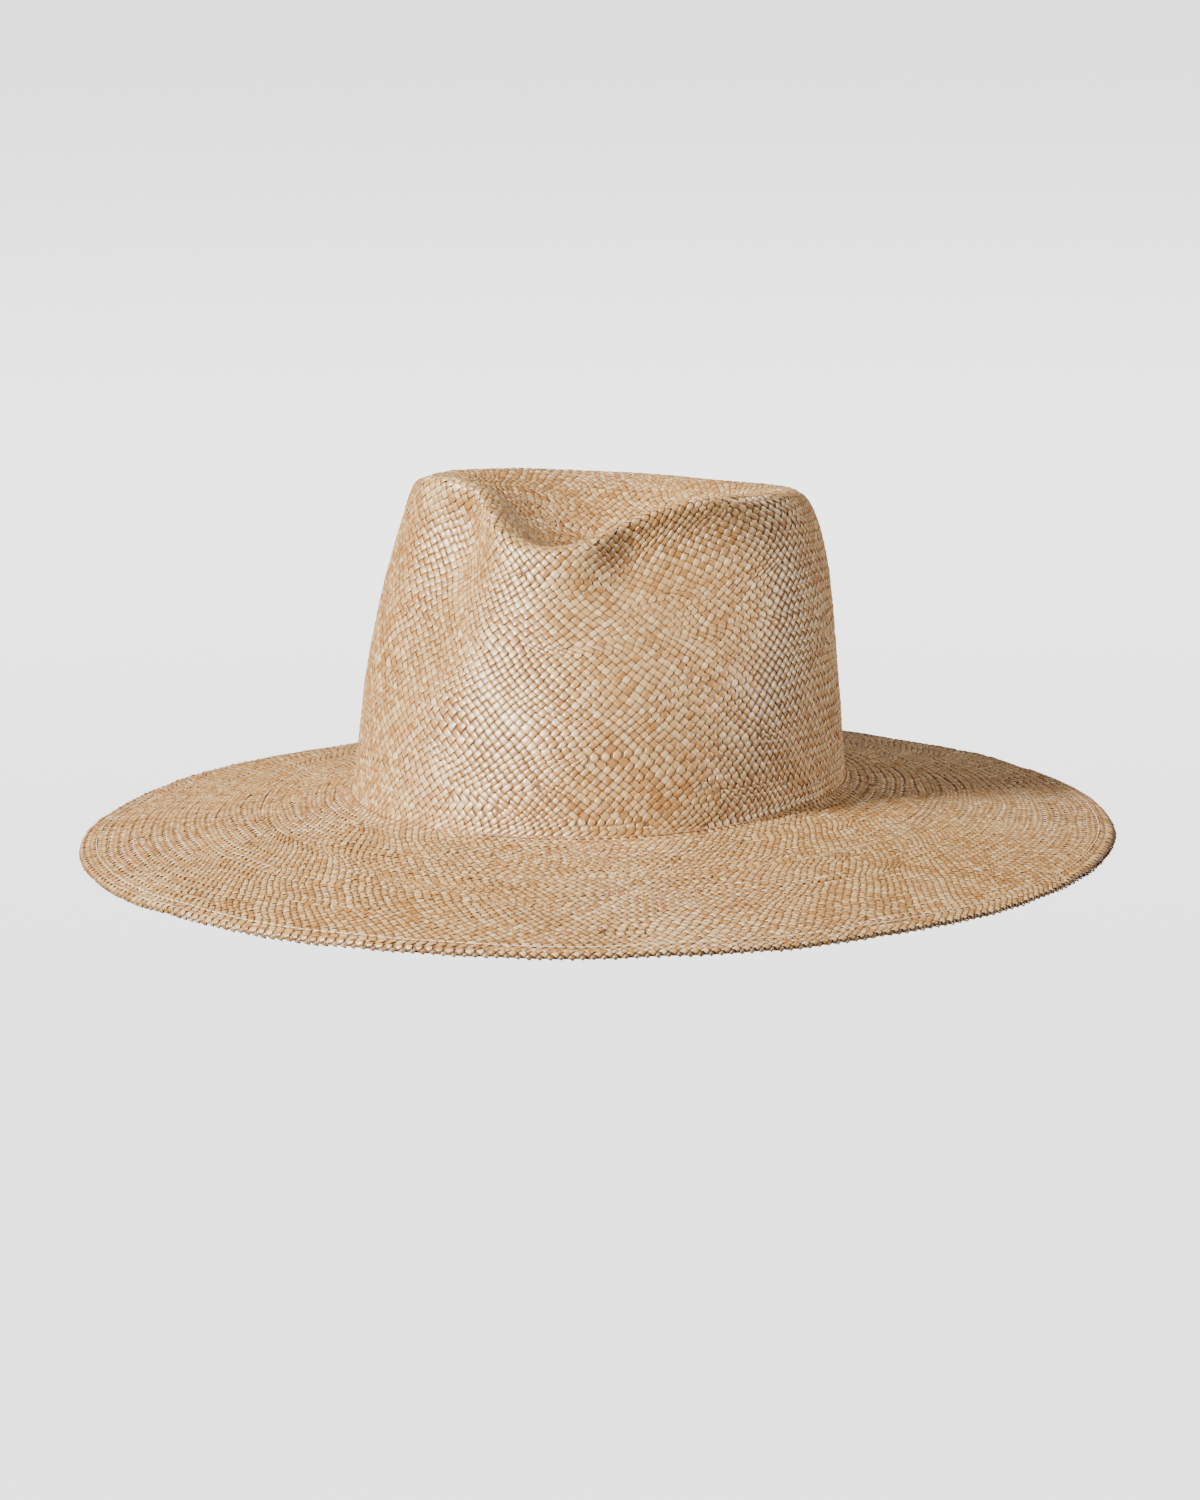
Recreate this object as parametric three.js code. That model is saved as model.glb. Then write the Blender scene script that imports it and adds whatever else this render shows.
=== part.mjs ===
// Woven straw hat with a wide flat brim and a pinched teardrop crown.
// Millimetres. +Z is up, the front of the hat faces -Y and the wearer's left is +X.
// The origin is the middle of the head opening, on the crease between crown and brim.

import * as THREE from "three";
import { NURBSCurve } from "three/addons/curves/NURBSCurve.js";

// Crown: the outside of the straw at the crease, and the height of the top edge.
const headLength = 203;
const headWidth = 172.2;
const crownHeight = 107.8;
const fallToBack = 0.113;
const fallToLeft = 0.026;
const dipRight = 3;
const dipAngle = 1.3;
const dipSpread = 0.6;

// Front pinch: the notch in the top edge and the hollow beside it on each side.
const pinchDepth = 22.5;
const pinchSpreadRight = 0.45;
const pinchSpreadLeft = 0.65;
const hollowDepth = 15;
const hollowShareRight = 0.8;
const hollowAngleLeft = [1.14, 1.14, 0.79, 0.55, 0.5, 0.5];
const hollowAngleRight = 0.54;
const hollowSpreadFront = [0.4, 0.4, 0.35, 0.32, 0.22, 0.24];
const hollowSpreadBack = [0.5, 0.5, 0.53, 0.71, 0.6, 0.5];
const hollowSpreadRight = 0.26;

// How far the wall leans in at six levels, at the sides, at the front and at the back.
const wallLevel = [0.16, 0.4, 0.66, 0.84, 1, 1];
const sideLean = [1.8, 3.5, 7.1, 10.8, 15.6, 22.8];
const frontLean = [3.7, 10.4, 23, 35, 38.5, 42.4];
const backLean = [0.9, 2.4, 3, 4, 11, 21];
const hollowLevel = [0, 0.05, 1, 1.4, 0.9, 0.6];
const edgeRound = 1;
const lipRise = 1.8;

// Dent in the top: its middle, its depth, and the levels of the slope down into it.
const dentBack = 14;
const dentDepth = 30;
const dentSize = [0.76, 0.55, 0.34, 0.16, 0];
const dentFall = [3, 15, 22, 24, 24];
const dentFlat = [0, 0.45, 0.8, 1, 1];

// Straw, and the brim measured outwards from the crease.
const strawThickness = 1.2;
const brimWidth = 97;
const brimDrop = 17;
const brimFrontLift = 0.9;
const brimEndLift = 0.6;

// Folded hem under the brim's edge and the line of stitching that holds it.
const hemWidth = 8;
const hemThickness = 1;
const hemStitchIn = 5;
const hemThreadThickness = 0.5;

// Sweatband inside the head opening, open at the back.
const bandHeight = 32;
const bandThickness = 1;
const bandJointGap = 3;
const reedThickness = 1.8;
const bandThreadThickness = 0.5;

// Tape over the band's joint, the small bow on it, and a blank patch.
const tapeWidth = 16;
const tapeHeight = 26;
const tapeThickness = 0.6;
const bowWidth = 20;
const bowHeight = 9;
const bowThickness = 0.8;
const bowLift = 14;
const labelWidth = 15;
const labelHeight = 10;
const labelThickness = 0.5;
const labelAngle = 2.55;

// Clearances: pieces that touch on the hat keep this much air between their faces.
const clearance = 0.3;
const bandClearance = 0.8;

// Resolution.
const stepsAround = 72;
const stepsOver = 16;

const halfWidth = headWidth / 2;
const halfLength = headLength / 2;

function turnTo(angle, centre) {
  return Math.atan2(Math.sin(angle - centre), Math.cos(angle - centre));
}

function bump(angle, centre, spread) {
  const turn = turnTo(angle, centre) / spread;
  return Math.exp(-turn * turn);
}

// A point on an oval that is leaned in by its own amount at the sides, front and back.
function ovalPoint(angle, side, front, back) {
  const x = (halfWidth - side) * Math.sin(angle);
  const y = (front - back) / 2 - (halfLength - (front + back) / 2) * Math.cos(angle);
  return new THREE.Vector2(x, y);
}

// The control points of one rib of the crown, from the crease over the edge to the dent.
function ribPoints(angle) {
  const edge = ovalPoint(angle, sideLean[4], frontLean[4], backLean[4]);
  const left = turnTo(angle, 0) > 0;
  const pinch = pinchDepth * bump(angle, 0, left ? pinchSpreadLeft : pinchSpreadRight);
  const dip = dipRight * bump(angle, -dipAngle, dipSpread);
  const top = crownHeight - fallToBack * edge.y - fallToLeft * edge.x - pinch - dip;
  const hollowRight = hollowShareRight * bump(angle, -hollowAngleRight, hollowSpreadRight);
  const crease = ovalPoint(angle, 0, 0, 0);
  const points = [new THREE.Vector3(crease.x, crease.y, 0)];
  const middle = new THREE.Vector2(0, dentBack);
  for (let k = 0; k < wallLevel.length; k += 1) {
    const place = ovalPoint(angle, sideLean[k], frontLean[k], backLean[k]);
    const inward = place.clone().sub(middle).normalize();
    const backwards = turnTo(angle, hollowAngleLeft[k]) > 0;
    const spread = backwards ? hollowSpreadBack[k] : hollowSpreadFront[k];
    const hollow = bump(angle, hollowAngleLeft[k], spread) + hollowRight;
    place.addScaledVector(inward, -hollowDepth * hollow * hollowLevel[k]);
    const lift = k === 5 ? lipRise : k === 4 ? -edgeRound : 0;
    points.push(new THREE.Vector3(place.x, place.y, top * wallLevel[k] + lift));
  }
  const lip = points[points.length - 1];
  for (let k = 0; k < dentSize.length; k += 1) {
    const x = lip.x * dentSize[k];
    const y = middle.y + (lip.y - middle.y) * dentSize[k];
    const floor = crownHeight - fallToBack * y - dentDepth;
    const z = (top - dentFall[k]) * (1 - dentFlat[k]) + floor * dentFlat[k];
    points.push(new THREE.Vector3(x, y, z));
  }
  return points;
}

function ribCurve(angle) {
  const points = ribPoints(angle).map((p) => new THREE.Vector4(p.x, p.y, p.z, 1));
  const knots = [0, 0, 0];
  const spans = points.length - 3;
  for (let k = 0; k <= spans; k += 1) {
    knots.push(k / spans);
  }
  knots.push(1, 1, 1);
  return new NURBSCurve(3, knots, points);
}

// A point of the crown, set in from the outside of the straw along its normal.
function crownPoint(angle, along, setIn) {
  const span = 0.004;
  const here = ribCurve(angle).getPoint(along);
  const before = ribCurve(angle).getPoint(Math.max(along - span, 0));
  const after = ribCurve(angle).getPoint(Math.min(along + span, 1));
  const right = ribCurve(angle - span).getPoint(along);
  const left = ribCurve(angle + span).getPoint(along);
  const normal = left.sub(right).cross(after.sub(before)).normalize();
  return here.addScaledVector(normal, -setIn);
}

// A point of the wall at a height above the crease.
function wallPoint(angle, height, setIn) {
  const curve = ribCurve(angle);
  let low = 0;
  let high = 0.4;
  for (let k = 0; k < 24; k += 1) {
    const middle = (low + high) / 2;
    if (curve.getPoint(middle).z < height) {
      low = middle;
    } else {
      high = middle;
    }
  }
  return crownPoint(angle, (low + high) / 2, setIn);
}

// A point of the brim: outwards from the crease, and up from the straw's top face.
function brimPoint(angle, outwards, up) {
  const oval = ovalPoint(angle, -outwards, -outwards, -outwards);
  const lift = brimFrontLift * Math.cos(angle) + brimEndLift * Math.cos(2 * angle);
  const drop = (brimDrop - lift) * (Math.max(outwards, 0) / brimWidth);
  return new THREE.Vector3(oval.x, oval.y, up - drop);
}

function around(steps, start, end) {
  const closed = start === undefined;
  const angles = [];
  const count = closed ? steps : steps + 1;
  for (let k = 0; k < count; k += 1) {
    angles.push(closed ? (2 * Math.PI * k) / steps : start + ((end - start) * k) / steps);
  }
  return angles;
}

function makeGeometry(points, faces) {
  const geometry = new THREE.BufferGeometry();
  geometry.setFromPoints(points);
  geometry.setIndex(faces.flat());
  geometry.computeVertexNormals();
  return geometry;
}

// A solid through sections of equal size, closed round on itself or capped at both ends.
// Each section runs up one side and back down the other.
function loft(sections, closed) {
  const size = sections[0].length;
  const faces = [];
  const joins = closed ? sections.length : sections.length - 1;
  for (let s = 0; s < joins; s += 1) {
    const a = s * size;
    const b = ((s + 1) % sections.length) * size;
    for (let k = 0; k < size; k += 1) {
      const n = (k + 1) % size;
      faces.push([a + k, b + k, b + n], [a + k, b + n, a + n]);
    }
  }
  if (!closed) {
    const last = (sections.length - 1) * size;
    for (let k = 0; k < size / 2 - 1; k += 1) {
      const far = size - 1 - k;
      faces.push([k, k + 1, far - 1], [k, far - 1, far]);
      faces.push([last + k, last + far - 1, last + k + 1], [last + k, last + far, last + far - 1]);
    }
  }
  return makeGeometry(sections.flat(), faces);
}

// A round cord's section about a centre, in the plane of the hat's axis.
function cordSection(centre, thickness, angle, sides) {
  const out = new THREE.Vector3(Math.sin(angle), -Math.cos(angle), 0);
  const section = [];
  for (let k = 0; k < sides; k += 1) {
    const turn = (2 * Math.PI * k) / sides;
    const point = centre.clone().addScaledVector(out, (thickness / 2) * Math.cos(turn));
    point.z += (thickness / 2) * Math.sin(turn);
    section.push(point);
  }
  return section;
}

// A strip that lies inside the wall between two heights.
function stripSections(angles, bottom, height, setIn, thickness, levels) {
  return angles.map((angle) => {
    const section = [];
    for (let k = 0; k <= levels; k += 1) {
      section.push(wallPoint(angle, bottom + (height * k) / levels, setIn));
    }
    for (let k = levels; k >= 0; k -= 1) {
      section.push(wallPoint(angle, bottom + (height * k) / levels, setIn + thickness));
    }
    return section;
  });
}

function makeCrown() {
  const angles = around(stepsAround);
  const points = [];
  const faces = [];
  const count = angles.length;
  for (const setIn of [0, strawThickness]) {
    for (let k = 0; k < stepsOver; k += 1) {
      const along = k / stepsOver;
      for (const angle of angles) {
        const point = crownPoint(angle, along, setIn);
        point.z = k === 0 ? clearance : point.z;
        points.push(point);
      }
    }
  }
  const middle = ribCurve(0).getPoint(1);
  points.push(middle.clone());
  points.push(middle.clone().setZ(middle.z - strawThickness));
  const inside = count * stepsOver;
  for (let n = 0; n < count; n += 1) {
    const m = (n + 1) % count;
    for (let k = 0; k < stepsOver - 1; k += 1) {
      const a = k * count;
      const b = a + count;
      faces.push([a + n, a + m, b + m], [a + n, b + m, b + n]);
      faces.push([inside + a + n, inside + b + m, inside + a + m]);
      faces.push([inside + a + n, inside + b + n, inside + b + m]);
    }
    const top = (stepsOver - 1) * count;
    faces.push([top + n, top + m, 2 * inside]);
    faces.push([inside + top + n, 2 * inside + 1, inside + top + m]);
    faces.push([n, inside + m, m], [n, inside + n, inside + m]);
  }
  return makeGeometry(points, faces);
}

function makeBrim() {
  const stations = [-strawThickness, 0, brimWidth / 3, (2 * brimWidth) / 3, brimWidth];
  const sections = around(stepsAround).map((angle) => {
    const upper = stations.map((out) => brimPoint(angle, out, 0));
    const lower = stations.map((out) => brimPoint(angle, out, -strawThickness));
    return upper.reverse().concat(lower);
  });
  return loft(sections, true);
}

function makeHem() {
  const top = -strawThickness - clearance;
  const sections = around(stepsAround).map((angle) => [
    brimPoint(angle, brimWidth, top),
    brimPoint(angle, brimWidth - hemWidth, top),
    brimPoint(angle, brimWidth - hemWidth, top - hemThickness),
    brimPoint(angle, brimWidth, top - hemThickness),
  ]);
  return loft(sections, true);
}

function makeHemThread() {
  const sections = around(stepsAround).map((angle) => {
    const lift = clearance + hemThreadThickness / 2;
    const centre = brimPoint(angle, brimWidth - hemStitchIn, lift);
    return cordSection(centre, hemThreadThickness, angle, 4);
  });
  return loft(sections, true);
}

const bandSetIn = strawThickness + bandClearance;
const reedHeight = clearance + reedThickness / 2;
const bandBottom = reedHeight + reedThickness / 2 + clearance;

function makeBand() {
  const gap = bandJointGap / (2 * (halfWidth + halfLength) / 2);
  const angles = around(stepsAround, -Math.PI + gap, Math.PI - gap);
  return loft(stripSections(angles, bandBottom, bandHeight, bandSetIn, bandThickness, 5), false);
}

function makeReed() {
  const sections = around(stepsAround).map((angle) => {
    const centre = wallPoint(angle, reedHeight, bandSetIn + reedThickness / 2);
    return cordSection(centre, reedThickness, angle, 6);
  });
  return loft(sections, true);
}

function makeBandThread() {
  const sections = around(stepsAround).map((angle) => {
    const out = clearance + bandThreadThickness / 2;
    const centre = brimPoint(angle, out, out + clearance);
    return cordSection(centre, bandThreadThickness, angle, 4);
  });
  return loft(sections, true);
}

// A patch on the inside of the band, between two heights and centred on an angle.
function makePatch(centre, width, bottom, height, setIn, thickness, steps) {
  const reach = width / (halfWidth + halfLength);
  const angles = around(steps, centre - reach, centre + reach);
  return loft(stripSections(angles, bottom, height, setIn, thickness, 2), false);
}

const tapeSetIn = bandSetIn + bandThickness + clearance;
const bowSetIn = tapeSetIn + tapeThickness + 2 * clearance;

function makeTape() {
  const bottom = bandBottom + (bandHeight - tapeHeight) / 2;
  return makePatch(Math.PI, tapeWidth, bottom, tapeHeight, tapeSetIn, tapeThickness, 4);
}

function makeLabel() {
  const bottom = bandBottom + (bandHeight - labelHeight) / 2;
  return makePatch(labelAngle, labelWidth, bottom, labelHeight, tapeSetIn, labelThickness, 3);
}

// A flat bow: two loops that narrow to the knot in the middle.
function makeBow() {
  const knot = bowHeight / 5;
  const shape = new THREE.Shape();
  shape.moveTo(0, knot);
  shape.quadraticCurveTo(bowWidth / 5, bowHeight / 2, bowWidth / 2.4, bowHeight / 2);
  shape.quadraticCurveTo(bowWidth / 1.9, 0, bowWidth / 2.4, -bowHeight / 2);
  shape.quadraticCurveTo(bowWidth / 5, -bowHeight / 2, 0, -knot);
  shape.quadraticCurveTo(-bowWidth / 5, -bowHeight / 2, -bowWidth / 2.4, -bowHeight / 2);
  shape.quadraticCurveTo(-bowWidth / 1.9, 0, -bowWidth / 2.4, bowHeight / 2);
  shape.quadraticCurveTo(-bowWidth / 5, bowHeight / 2, 0, knot);
  const options = { depth: bowThickness, bevelEnabled: false, curveSegments: 4 };
  return new THREE.ExtrudeGeometry(shape, options);
}

function makeMesh(name, geometry, colour, roughness) {
  const material = new THREE.MeshStandardMaterial({ color: colour, roughness, metalness: 0 });
  const mesh = new THREE.Mesh(geometry, material);
  mesh.name = name;
  return mesh;
}

const hat = new THREE.Group();
hat.add(makeMesh("straw_crown", makeCrown(), 0xd8bd97, 0.6));
hat.add(makeMesh("straw_brim", makeBrim(), 0xd2b58c, 0.6));
hat.add(makeMesh("brim_hem", makeHem(), 0xcdb088, 0.6));
hat.add(makeMesh("hem_thread", makeHemThread(), 0xe4d6bd, 0.8));
hat.add(makeMesh("sweatband", makeBand(), 0xb98a5a, 0.55));
hat.add(makeMesh("sweatband_reed", makeReed(), 0xa87a4c, 0.5));
hat.add(makeMesh("sweatband_thread", makeBandThread(), 0xb08a5f, 0.8));
hat.add(makeMesh("sweatband_joint_tape", makeTape(), 0xa97c50, 0.6));
hat.add(makeMesh("size_label", makeLabel(), 0xece6d8, 0.8));

const bow = makeMesh("sweatband_bow", makeBow(), 0xa3744a, 0.5);
const bowPlace = wallPoint(Math.PI, bandBottom + bowLift, bowSetIn + bowThickness / 2);
const bowBelow = wallPoint(Math.PI, bandBottom + bowLift - 4, bowSetIn);
const bowAbove = wallPoint(Math.PI, bandBottom + bowLift + 4, bowSetIn);
bow.rotation.x = Math.PI / 2 - Math.atan2(bowAbove.y - bowBelow.y, bowAbove.z - bowBelow.z);
bow.position.copy(bowPlace);
hat.add(bow);

export default hat;
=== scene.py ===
# Woven straw hat: pinched teardrop crown, wide flat brim, folded hem and inner sweatband.
# Metres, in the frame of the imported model: front towards -Y, +Z up.
import math
import bmesh
import bpy
import numpy as np
from mathutils import Matrix, Vector


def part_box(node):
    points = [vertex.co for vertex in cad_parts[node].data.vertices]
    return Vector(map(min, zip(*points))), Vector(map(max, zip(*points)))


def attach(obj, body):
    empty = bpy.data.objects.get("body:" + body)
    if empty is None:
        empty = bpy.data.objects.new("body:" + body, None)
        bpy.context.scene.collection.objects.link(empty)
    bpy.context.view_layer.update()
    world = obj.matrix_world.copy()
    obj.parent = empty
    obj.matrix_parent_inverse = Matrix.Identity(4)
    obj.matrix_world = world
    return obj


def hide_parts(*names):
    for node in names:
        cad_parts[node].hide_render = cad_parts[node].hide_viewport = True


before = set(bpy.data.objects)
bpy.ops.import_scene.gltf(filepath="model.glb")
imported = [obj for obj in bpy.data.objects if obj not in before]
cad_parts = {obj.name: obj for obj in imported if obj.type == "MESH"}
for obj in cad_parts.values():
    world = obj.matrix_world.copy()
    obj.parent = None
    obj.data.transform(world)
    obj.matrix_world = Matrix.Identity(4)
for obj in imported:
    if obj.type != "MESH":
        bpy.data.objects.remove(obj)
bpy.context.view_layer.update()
mm = 0.001


cameraSettings = {
    "azimuth": 20.0,
    "elevation": 11.4,
    "distance": 1.8,
    "lens": 121.0,
    "filmWidth": 36.0,
    "farthest": 30.0,
    "aim": (0.0, 0.0, 0.0108),
    "roll": -0.43,
}


def wayTo(azimuth, elevation):
    # azimuth 0 lies in front of the hat and grows towards +X
    a, e = math.radians(azimuth), math.radians(elevation)
    return Vector((math.sin(a) * math.cos(e), -math.cos(a) * math.cos(e), math.sin(e)))


def makeCamera(settings):
    back = wayTo(settings["azimuth"], settings["elevation"])
    data = bpy.data.cameras.new("camera")
    data.lens = settings["lens"]
    data.sensor_width = settings["filmWidth"]
    data.clip_end = settings["farthest"]
    camera = bpy.data.objects.new("camera", data)
    camera.location = Vector(settings["aim"]) + back * settings["distance"]
    turn = back.to_track_quat("Z", "Y").to_matrix().to_4x4()
    turn = turn @ Matrix.Rotation(math.radians(settings["roll"]), 4, "Z")
    camera.rotation_euler = turn.to_euler()
    bpy.context.scene.collection.objects.link(camera)
    bpy.context.scene.camera = camera


makeCamera(cameraSettings)
print("camera placed")


# the straw as one sheet, from the crown's middle to the turned edge; millimetres and radians
strawShape = {
    "crownHeight": 107.8,
    "fallToBack": 0.113,
    "fallToLeft": 0.026,
    "dip": (3.0, -1.3, 0.6),  # depth, angle and spread of the low spot in the crown's rim
    "pinchDepth": 22.5,
    "pinchSpread": (0.45, 0.65),  # right and left of the front
    "dentBack": 14.0,
    "dentDepth": 30.0,
    # the wall's six levels, from the crease up to the rim and over it
    "wallLevel": (0.16, 0.4, 0.66, 0.84, 1.0, 1.0),
    "sideLean": (1.8, 3.5, 7.1, 10.8, 15.6, 22.8),
    "frontLean": (3.7, 10.4, 23.0, 35.0, 38.5, 42.4),
    "backLean": (0.9, 2.4, 3.0, 4.0, 11.0, 21.0),
    "edgeLift": (0.0, 0.0, 0.0, 0.0, -1.0, 1.8),
    "hollowDepth": 15.0,
    "hollowLevel": (0.0, 0.05, 1.0, 1.4, 0.9, 0.6),
    "hollowAngleLeft": (1.14, 1.14, 0.79, 0.55, 0.5, 0.5),
    "hollowSpreadFront": (0.4, 0.4, 0.35, 0.32, 0.22, 0.24),
    "hollowSpreadBack": (0.5, 0.5, 0.53, 0.71, 0.6, 0.5),
    "hollowRight": (0.8, -0.54, 0.26),  # share of the left one's depth, angle and spread
    # the dent's five rings, from the rim in to its middle
    "dentSize": (0.76, 0.55, 0.34, 0.16, 0.0),
    "dentFall": (3.0, 15.0, 22.0, 24.0, 24.0),
    "dentFlat": (0.0, 0.45, 0.8, 1.0, 1.0),
    "frontLift": 0.9,
    "endLift": 0.6,
    "strawThickness": 1.2,
    "hemDrop": 1.4,
    "hemWidth": 8.0,
    "hemTurnSteps": 5,
    "filletRows": 8,
    "filletReach": 6,
    # height, length and seed of the slow waves left by hand blocking
    "brimWave": (0.55, 90.0, 4),
    "edgeWave": (0.2475, 26.0, 9),
    "crownWave": (0.35, 55.0, 2),
    "waveFadeIn": (20, 60),  # rows beyond the crease, on the brim and on the crown
}

crownLow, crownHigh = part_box("straw_crown")
brimLow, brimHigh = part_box("straw_brim")
headWidth = (crownHigh.x - crownLow.x) / mm
headLength = (crownHigh.y - crownLow.y) / mm
brimWidth = (brimHigh.x - brimLow.x) / 2 / mm - headWidth / 2
brimDrop = -brimLow.z / mm - strawShape["strawThickness"] - strawShape["endLift"]
roundCount = 720  # ribs of the first sheet
turnCount = 1440  # even steps round each row of the finished one
fineSteps = 900  # along each rib, before it gets even steps
rowStep = 0.5


def bump(angle, centre, before, after=None):
    # 1 at the centre, and it fades within one spread before it and another after it
    turn = np.arctan2(np.sin(angle - centre), np.cos(angle - centre))
    turn = turn / np.where(turn < 0, before, before if after is None else after)
    return np.exp(-turn * turn)


def ovalPoint(angle, side, front, back):
    x = (headWidth / 2 - side) * np.sin(angle)
    y = (front - back) / 2 - (headLength / 2 - (front + back) / 2) * np.cos(angle)
    return x, y


def ribPoints(angle, form):
    # control points of every rib, ring by ring: the wall, the rim and the dent
    edgeX, edgeY = ovalPoint(angle, form["sideLean"][4], form["frontLean"][4], form["backLean"][4])
    right, left = form["pinchSpread"]
    isLeft = np.sin(angle) > 0
    pinch = form["pinchDepth"] * np.where(isLeft, bump(angle, 0, left), bump(angle, 0, right))
    top = form["crownHeight"] - form["fallToBack"] * edgeY - form["fallToLeft"] * edgeX - pinch
    top = top - form["dip"][0] * bump(angle, form["dip"][1], form["dip"][2])
    x, y = ovalPoint(angle, 0, 0, 0)
    rings = [np.stack([x, y, 0 * x], -1)]
    for k, level in enumerate(form["wallLevel"]):
        x, y = ovalPoint(angle, form["sideLean"][k], form["frontLean"][k], form["backLean"][k])
        reach = np.hypot(x, y - form["dentBack"])
        before, after = form["hollowSpreadFront"][k], form["hollowSpreadBack"][k]
        hollow = bump(angle, form["hollowAngleLeft"][k], before, after)
        share, centre, spread = form["hollowRight"]
        hollow = hollow + share * bump(angle, centre, spread)
        push = form["hollowDepth"] * hollow * form["hollowLevel"][k] / reach
        x, y = x - push * x, y - push * (y - form["dentBack"])
        rings.append(np.stack([x, y, top * level + form["edgeLift"][k]], -1))
    lipX, lipY = x, y
    for size, fall, flat in zip(form["dentSize"], form["dentFall"], form["dentFlat"]):
        x = lipX * size
        y = form["dentBack"] + (lipY - form["dentBack"]) * size
        floor = form["crownHeight"] - form["fallToBack"] * y - form["dentDepth"]
        rings.append(np.stack([x, y, (top - fall) * (1 - flat) + floor * flat], -1))
    return np.stack(rings)


def splineWeights(along, count, degree=3):
    # how much each control point counts on a smooth curve that starts and ends on one
    knots = np.concatenate([np.zeros(degree), np.linspace(0, 1, count - degree + 1), np.ones(degree)])
    at = np.minimum(along, 1 - 1e-9)[:, None]
    weights = ((knots[:-1] <= at) & (at < knots[1:])).astype(float)
    for d in range(1, degree + 1):
        span = len(knots) - 1 - d
        low, high = knots[:span], knots[d:span + d]
        low2, high2 = knots[1:span + 1], knots[d + 1:span + d + 1]
        a = np.where(high > low, (at - low) / np.where(high > low, high - low, 1), 0)
        b = np.where(high2 > low2, (high2 - at) / np.where(high2 > low2, high2 - low2, 1), 0)
        weights = a * weights[:, :span] + b * weights[:, 1:span + 1]
    return weights


def smoothRows(rows, first, last, reach):
    # rolls the corner between wall and brim into a small fillet
    out = rows.copy()
    offsets = np.arange(-reach, reach + 1)
    kernel = np.exp(-(offsets / (reach / 2.2)) ** 2)
    kernel /= kernel.sum()
    for k in range(first, last):
        out[k] = np.tensordot(kernel, rows[k + offsets], 1)
    return out


def slowWaves(x, y, z, height, length, seed):
    generator = np.random.default_rng(seed)
    total = 0
    for k in range(9):
        direction = generator.normal(size=3)
        direction /= np.linalg.norm(direction) * length * generator.uniform(0.6, 1.5)
        phase = generator.uniform(0, 2 * math.pi)
        along = x * direction[0] + y * direction[1] + z * direction[2]
        total = total + np.sin(2 * math.pi * along + phase)
    return height * total / 3


def ringNormals(rows):
    across = np.roll(rows, -1, 1) - np.roll(rows, 1, 1)
    outward = np.gradient(rows, axis=0)
    normal = np.cross(outward, across)
    return normal / np.maximum(np.linalg.norm(normal, axis=-1, keepdims=True), 1e-9)


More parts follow.
